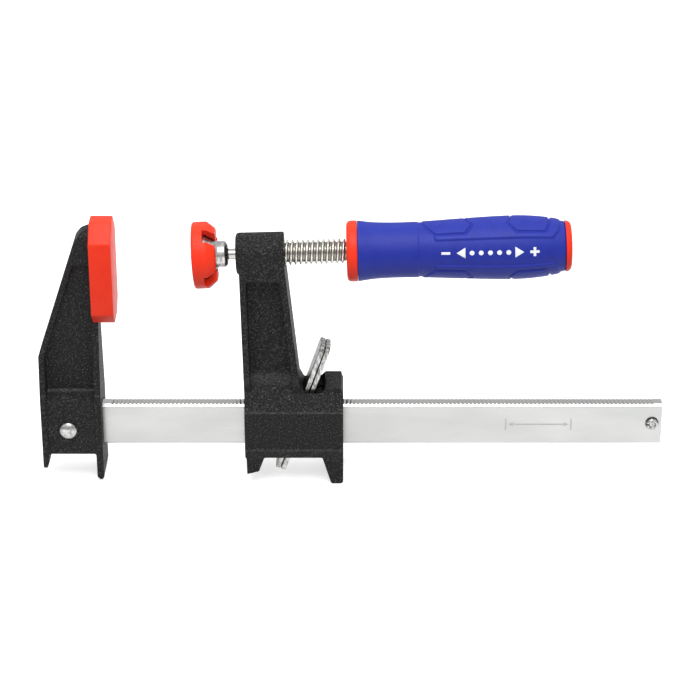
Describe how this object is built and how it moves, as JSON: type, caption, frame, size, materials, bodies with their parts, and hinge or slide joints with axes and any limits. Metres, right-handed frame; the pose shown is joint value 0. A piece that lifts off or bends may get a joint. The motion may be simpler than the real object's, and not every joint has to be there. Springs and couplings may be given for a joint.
{
  "type": "f clamp",
  "caption": "F clamp: a fixed jaw riveted to a toothed flat rail, a sliding arm locked by tilting plates, and a screw with a swivel pad and soft-grip handle.",
  "frame": {"origin": "centre of the fixed pad's clamping face", "axes": "+X along the rail from the fixed jaw to the free end, +Z from the rail to the spindle, Y across the width"},
  "size_m": [0.2463, 0.026, 0.1103],
  "materials": {
    "black_casting": "black textured powder coat over a casting",
    "rail_steel": "bright zinc plate on drawn flat bar",
    "plate_steel": "zinc plate on stamped plate",
    "hardware_steel": "bright zinc plate",
    "thread_steel": "rolled thread, lightly oiled",
    "red_plastic": "soft satin moulded cap",
    "handle_red": "satin moulded core",
    "blue_rubber": "matt soft overmould"
  },
  "bodies": {
    "rail": {"rail": "rail_steel", "fixed_jaw": "black_casting", "jaw_rivet": "hardware_steel", "fixed_pad": "red_plastic", "rail_stop_pin": "hardware_steel"},
    "arm": {"sliding_arm": "black_casting", "clutch_spring": "hardware_steel"},
    "clutch": {"clutch_plate_front": "plate_steel", "clutch_plate_rear": "plate_steel"},
    "stud": {"ball_stud": "hardware_steel"},
    "spindle": {"spindle": "thread_steel", "handle_core": "handle_red", "handle_grip": "blue_rubber"},
    "swivel": {"swivel_cup": "hardware_steel", "swivel_pad": "red_plastic"}
  },
  "joints": [
    {"name": "arm_slide", "type": "slide", "parent": "rail", "child": "arm", "axis": [1, 0, 0], "range_m": [-0.0045, 0.12]},
    {"name": "clutch_release", "type": "hinge", "parent": "arm", "child": "clutch", "pos_m": [0.07352, 0, -0.04985], "axis": [0, -1, 0], "range_deg": [0, 14], "stiffness_Nm_per_rad": 0.2, "springref_deg": -14.32, "deforming": ["clutch_spring"]},
    {"name": "screw_advance", "type": "slide", "parent": "arm", "child": "stud", "axis": [-0.9997, 0, -0.0262], "range_m": [-0.0022, 0.0234]},
    {"name": "screw_turn", "type": "hinge", "parent": "stud", "child": "spindle", "pos_m": [0.0418, 0, 0.00609], "axis": [-0.9997, 0, -0.0262], "range_deg": [-400, 4230]},
    {"name": "swivel_tilt", "type": "hinge", "parent": "stud", "child": "swivel", "pos_m": [0.0418, 0, 0.00609], "axis": [0, 1, 0], "range_deg": [-5.5, 8.5]}
  ],
  "couplings": [
    {"joint": "screw_turn", "follows": "screw_advance", "rad_per_m": 3141.6}
  ]
}
